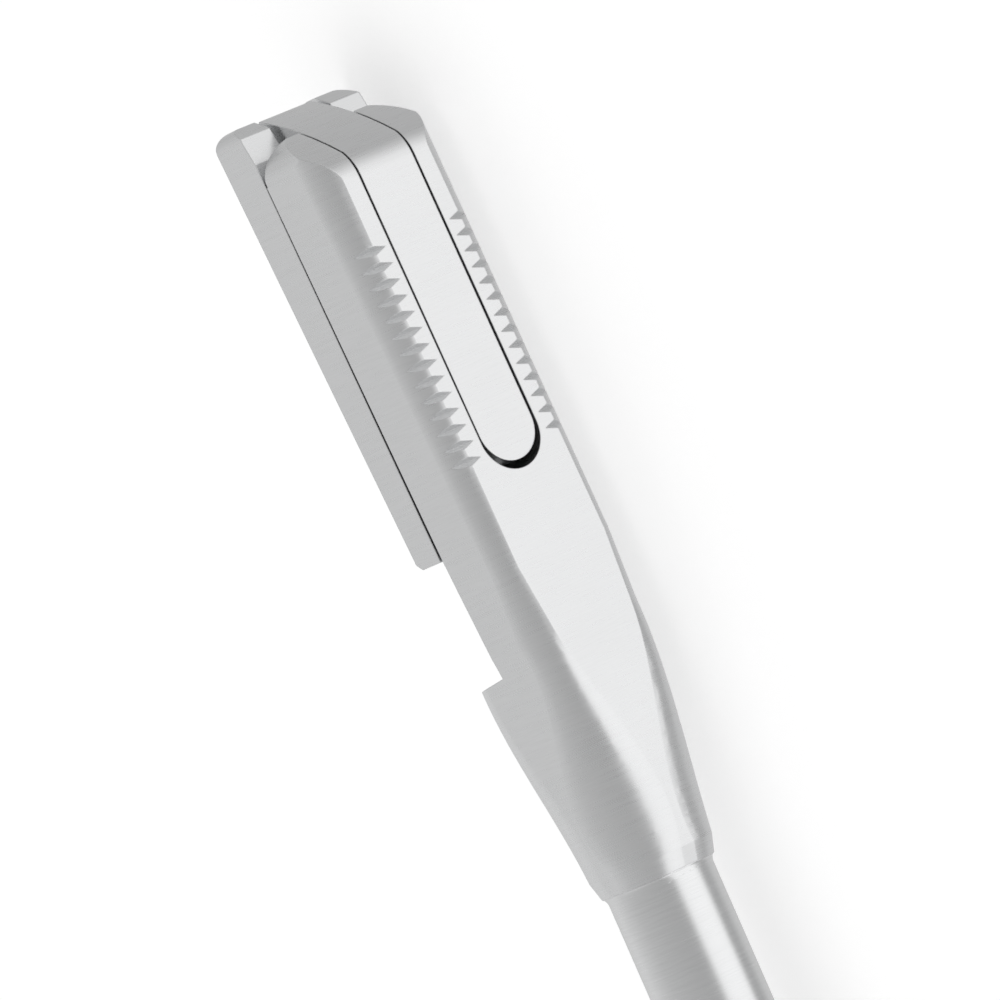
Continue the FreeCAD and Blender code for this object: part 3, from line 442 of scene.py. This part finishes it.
def rear_rim(head: bpy.types.Object, axis: tuple[float, float], least: float) -> np.ndarray:
    """Outer rim of the head's rear face.

    Args:
        head: The head.
        axis: The shaft's axis as (y, z).
        least: Radius that every point of the rim exceeds.

    Returns:
        Rows of (angle, radius) by rising angle, angles counted from +Y towards +Z.
    """
    spots = np.array([head.matrix_world @ vertex.co for vertex in head.data.vertices])
    offset = spots[:, 1:] - np.array(axis)
    radius = np.hypot(offset[:, 0], offset[:, 1])
    angle = np.arctan2(offset[:, 1], offset[:, 0])
    rear = (spots[:, 0] < spots[:, 0].min() + RIM_SLACK) & (radius > least)
    rows = np.column_stack([angle[rear], radius[rear]])
    return rows[np.argsort(rows[:, 0])]


@dataclass(frozen=True)
class Lamp:
    """Square soft lamp that lights the floor and isn't mirrored by the steel.

    Attributes:
        name: Name of the lamp.
        offset: Where it hangs, from the tip, in metres.
        size: Its side.
        power: Its power in watts.
    """

    name: str
    offset: tuple[float, float, float]
    size: float
    power: float

    def hang(self, tip: Vector) -> None:
        """Hangs the lamp and aims it at the tip.

        Args:
            tip: Tip of the head on the shaft's axis.
        """
        data = bpy.data.lights.new(self.name, "AREA")
        data.shape = "SQUARE"
        data.size = self.size
        data.energy = self.power
        made = bpy.data.objects.new(self.name, data)
        made.location = tip + Vector(self.offset)
        made.visible_glossy = False
        made.rotation_mode = "QUATERNION"
        made.rotation_quaternion = (tip - made.location).to_track_quat("-Z", "Y")
        bpy.context.scene.collection.objects.link(made)


@dataclass
class Studio:
    """Pale floor, soft lamps, a room of grey walls and the camera at the photograph's angle.

    Attributes:
        around: Camera's angle round the shaft from the front flat, in degrees.
        roll: Angle of the shaft's image from the vertical, in degrees.
        inwards: Point of the axis at the middle of the view, from the tip.
        aside: Offset of the middle of the view across the shaft.
        width: Width of the view at the shaft.
        distance: Distance from the camera to the shaft.
        room: Level of the surroundings by the angle round the shaft, in degrees from the camera
            downwards.
        peak: Level that the brightest wall may reach.
        ahead: Level of the surroundings ahead of the tip.
        gives_way: Parts of a direction ahead between which the walls give way to that level.
        floor_reach: Half the side of the floor.
        floor_grey: Colour of the floor.
        floor_lift: Brightness that is added to the floor where the camera sees it.
        lamps: The soft lamps.
    """

    around: float = 38.0
    roll: float = 23.7
    inwards: float = 15.574 * MM
    aside: float = 0.225 * MM
    width: float = 35.1 * MM
    distance: float = 0.42
    room: tuple[tuple[float, float], ...] = (
        (-180, 0.62), (-150, 0.66), (-125, 0.7), (-104, 0.63), (-70, 0.52), (-30, 0.46), (5, 0.42),
        (22, 0.42), (34, 1.03), (84, 1.06), (94, 0.4), (112, 0.42), (132, 0.6), (180, 0.62),
    )
    peak: float = 1.5
    ahead: float = 0.47
    gives_way: tuple[float, float] = (0.2, 0.8)
    floor_reach: float = 6.0
    floor_grey: float = 0.86
    floor_lift: float = 0.44
    lamps: tuple[Lamp, ...] = (
        Lamp("key", (-0.5, 0.05, 0.8), 0.9, 2.0),
        Lamp("fill", (-0.8, -0.5, 0.4), 0.7, 0.9),
    )

    def axes(self) -> tuple[Vector, Vector]:
        """Directions from the shaft towards the camera, and across the shaft downwards."""
        tilt = math.radians(self.around)
        back = Vector((0.0, -math.cos(tilt), math.sin(tilt)))
        across = Vector((0.0, -math.sin(tilt), -math.cos(tilt)))
        return back, across

    def wall(self, tree: bpy.types.NodeTree, looking: bpy.types.NodeSocket) -> bpy.types.NodeSocket:
        """Level of the room in the direction that a ray looks.

        The angle round the shaft is the arc tangent of the ray's parts across and towards the
        camera. It picks the level from the list, which gives way to one level ahead of the tip.

        Args:
            tree: The nodes of the surroundings.
            looking: The ray's direction.

        Returns:
            The socket that holds the level.
        """
        back, across = self.axes()
        parts = []
        for axis in (across, back, Vector((1.0, 0.0, 0.0))):
            part = tree.nodes.new("ShaderNodeVectorMath")
            part.operation = "DOT_PRODUCT"
            part.inputs[1].default_value = axis
            tree.links.new(looking, part.inputs[0])
            parts.append(part.outputs["Value"])
        turn = calculated(tree, "ARCTAN2", parts[0], parts[1])
        ramp = tree.nodes.new("ShaderNodeValToRGB")
        whole = mapped(tree, turn, (-math.pi, math.pi), (0.0, 1.0))
        tree.links.new(whole, ramp.inputs["Fac"])
        stops = ramp.color_ramp.elements
        while len(stops) < len(self.room):
            stops.new(1.0)
        for stop, (angle, level) in zip(stops, self.room):
            stop.position = (angle + 180) / 360
            stop.color = (level / self.peak,) * 3 + (1.0,)
        ahead = tree.nodes.new("ShaderNodeMix")
        tree.links.new(mapped(tree, parts[2], self.gives_way, (0.0, 1.0)), ahead.inputs["Factor"])
        tree.links.new(ramp.outputs["Color"], ahead.inputs["A"])
        ahead.inputs["B"].default_value = self.ahead / self.peak
        scale = tree.nodes.new("ShaderNodeMath")
        scale.operation = "MULTIPLY"
        scale.inputs[1].default_value = self.peak
        tree.links.new(ahead.outputs["Result"], scale.inputs[0])
        return scale.outputs["Value"]

    def camera(self, tip: Vector) -> None:
        """Puts the camera at the photograph's angle, looking at the head.

        Args:
            tip: Tip of the head on the shaft's axis.
        """
        turn = math.radians(self.roll)
        back, across = self.axes()
        ahead = Vector((1.0, 0.0, 0.0))
        right = across * math.cos(turn) - ahead * math.sin(turn)
        up = across * math.sin(turn) + ahead * math.cos(turn)
        target = tip - ahead * self.inwards + across * self.aside
        data = bpy.data.cameras.new("camera")
        data.sensor_width = 36.0
        data.lens = data.sensor_width * self.distance / self.width
        data.clip_start = 0.01
        data.clip_end = 20.0
        made = bpy.data.objects.new("camera", data)
        frame = Matrix((right, up, back)).transposed().to_4x4()
        frame.translation = target + back * self.distance
        made.matrix_world = frame
        bpy.context.scene.collection.objects.link(made)
        bpy.context.scene.camera = made

    def floor(self) -> None:
        """Lays a wide pale floor with its shadow, which the steel doesn't mirror.

        For glossy rays, and for the shadow rays that go with them, it is clear, so that the steel
        mirrors the surroundings below as it does those above.
        """
        mesh = bpy.data.meshes.new("floor")
        signs = ((-1, -1), (1, -1), (1, 1), (-1, 1))
        spots = [(x * self.floor_reach, y * self.floor_reach, 0) for x, y in signs]
        mesh.from_pydata(spots, [], [(0, 1, 2, 3)])
        made = bpy.data.objects.new("floor", mesh)
        bpy.context.scene.collection.objects.link(made)
        material = bpy.data.materials.new("pale_floor")
        material.use_nodes = True
        tree = material.node_tree
        tree.nodes.clear()
        link = tree.links.new
        path = tree.nodes.new("ShaderNodeLightPath")
        matt = tree.nodes.new("ShaderNodeBsdfDiffuse")
        matt.inputs["Color"].default_value = (*(self.floor_grey,) * 3, 1.0)
        glow = tree.nodes.new("ShaderNodeEmission")
        glow.inputs["Color"].default_value = WHITE
        lift = mapped(tree, path.outputs["Is Camera Ray"], (0.0, 1.0), (0.0, self.floor_lift))
        link(lift, glow.inputs["Strength"])
        seen = tree.nodes.new("ShaderNodeAddShader")
        link(matt.outputs["BSDF"], seen.inputs[0])
        link(glow.outputs["Emission"], seen.inputs[1])
        clear = tree.nodes.new("ShaderNodeBsdfTransparent")
        either = tree.nodes.new("ShaderNodeMixShader")
        mirrored = calculated(
            tree, "MAXIMUM", path.outputs["Is Glossy Ray"], path.outputs["Is Shadow Ray"]
        )
        link(mirrored, either.inputs["Fac"])
        link(seen.outputs["Shader"], either.inputs[1])
        link(clear.outputs["BSDF"], either.inputs[2])
        out = tree.nodes.new("ShaderNodeOutputMaterial")
        link(either.outputs["Shader"], out.inputs["Surface"])
        mesh.materials.append(material)

    def sky(self) -> None:
        """Surroundings that are white for the camera and the grey room for all other rays."""
        world = bpy.data.worlds.new("studio")
        bpy.context.scene.world = world
        world.use_nodes = True
        tree = world.node_tree
        tree.nodes.clear()
        link = tree.links.new
        path = tree.nodes.new("ShaderNodeLightPath")
        away = tree.nodes.new("ShaderNodeBackground")
        away.inputs["Color"].default_value = WHITE
        away.inputs["Strength"].default_value = 1.0
        near = tree.nodes.new("ShaderNodeBackground")
        near.inputs["Color"].default_value = WHITE
        place = tree.nodes.new("ShaderNodeTexCoord")
        link(self.wall(tree, place.outputs["Generated"]), near.inputs["Strength"])
        mix = tree.nodes.new("ShaderNodeMixShader")
        link(path.outputs["Is Camera Ray"], mix.inputs["Fac"])
        link(near.outputs["Background"], mix.inputs[1])
        link(away.outputs["Background"], mix.inputs[2])
        out = tree.nodes.new("ShaderNodeOutputWorld")
        link(mix.outputs["Shader"], out.inputs["Surface"])

    def build(self, tip: Vector) -> None:
        """Sets up floor, surroundings, lamps and camera.

        Args:
            tip: Tip of the head on the shaft's axis.
        """
        self.floor()
        self.sky()
        for lamp in self.lamps:
            lamp.hang(tip)
        self.camera(tip)
        bpy.context.scene.view_settings.view_transform = "Standard"


@dataclass
class Forceps:
    """The whole instrument, made of its dressed sub-assemblies and added details.

    Attributes:
        parts: The dressed sub-assemblies.
    """

    parts: tuple[Dressed, ...] = (
        Dressed("head", HEAD_STEEL, ("punch_head", "slide", "back_jaw")),
        Dressed("shaft", SHAFT_STEEL, ("shaft_tube", "rod_guide_rear", "rod_guide_front")),
        Dressed("handle", HANDLE_STEEL, ("fixed_handle", "thumb_handle", "shaft_collar")),
        Dressed(
            "small pieces",
            PIN_STEEL,
            (
                "jaw_pin", "link_pin", "slide_rod_pin", "pull_rod", "rod_end", "rod_lock_nut",
                "rod_end_pin", "pivot_screw", "pivot_nut", "left_washer", "right_washer",
                "opening_stop", "collar_set_screw",
            ),
        ),
    )

    def build(self, found: dict[str, bpy.types.Object]) -> None:
        """Dresses the nodes and adds the details that the CAD leaves out.

        Args:
            found: The CAD nodes by name.
        """
        finishes = {part.title: part.dress(found) for part in self.parts}
        nut_low, nut_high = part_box("rod_lock_nut")
        axis_y, axis_z = (nut_low.y + nut_high.y) / 2, (nut_low.z + nut_high.z) / 2
        thread = RodThread((nut_high.x, axis_y, axis_z))
        report(thread.build(finishes["small pieces"]))
        tip = tip_point()
        head_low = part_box("punch_head")[0]
        rim = rear_rim(found["punch_head"], (tip.y, tip.z), RIM_LEAST)
        solder = NeckSolder((head_low.x, tip.y, tip.z), rim)
        report(solder.build(finishes["shaft"]))


def tip_point() -> Vector:
    """The point where the shaft's axis meets the plane of the tip."""
    low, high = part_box("shaft_tube")
    return Vector((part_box("slide")[1].x, (low.y + high.y) / 2, (low.z + high.z) / 2))


def report(made: bpy.types.Object) -> None:
    """Logs a finished piece with its number of faces."""
    LOG.info("piece %s: %d faces", made.name, len(made.data.polygons))


def main() -> None:
    """Builds the instrument and the studio."""
    logging.basicConfig(level=logging.INFO, format="%(name)s: %(message)s")
    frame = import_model()
    Forceps().build(frame["nodes"])
    Studio().build(tip_point())
    LOG.info("sizes written")


if __name__ == "__main__":
    main()
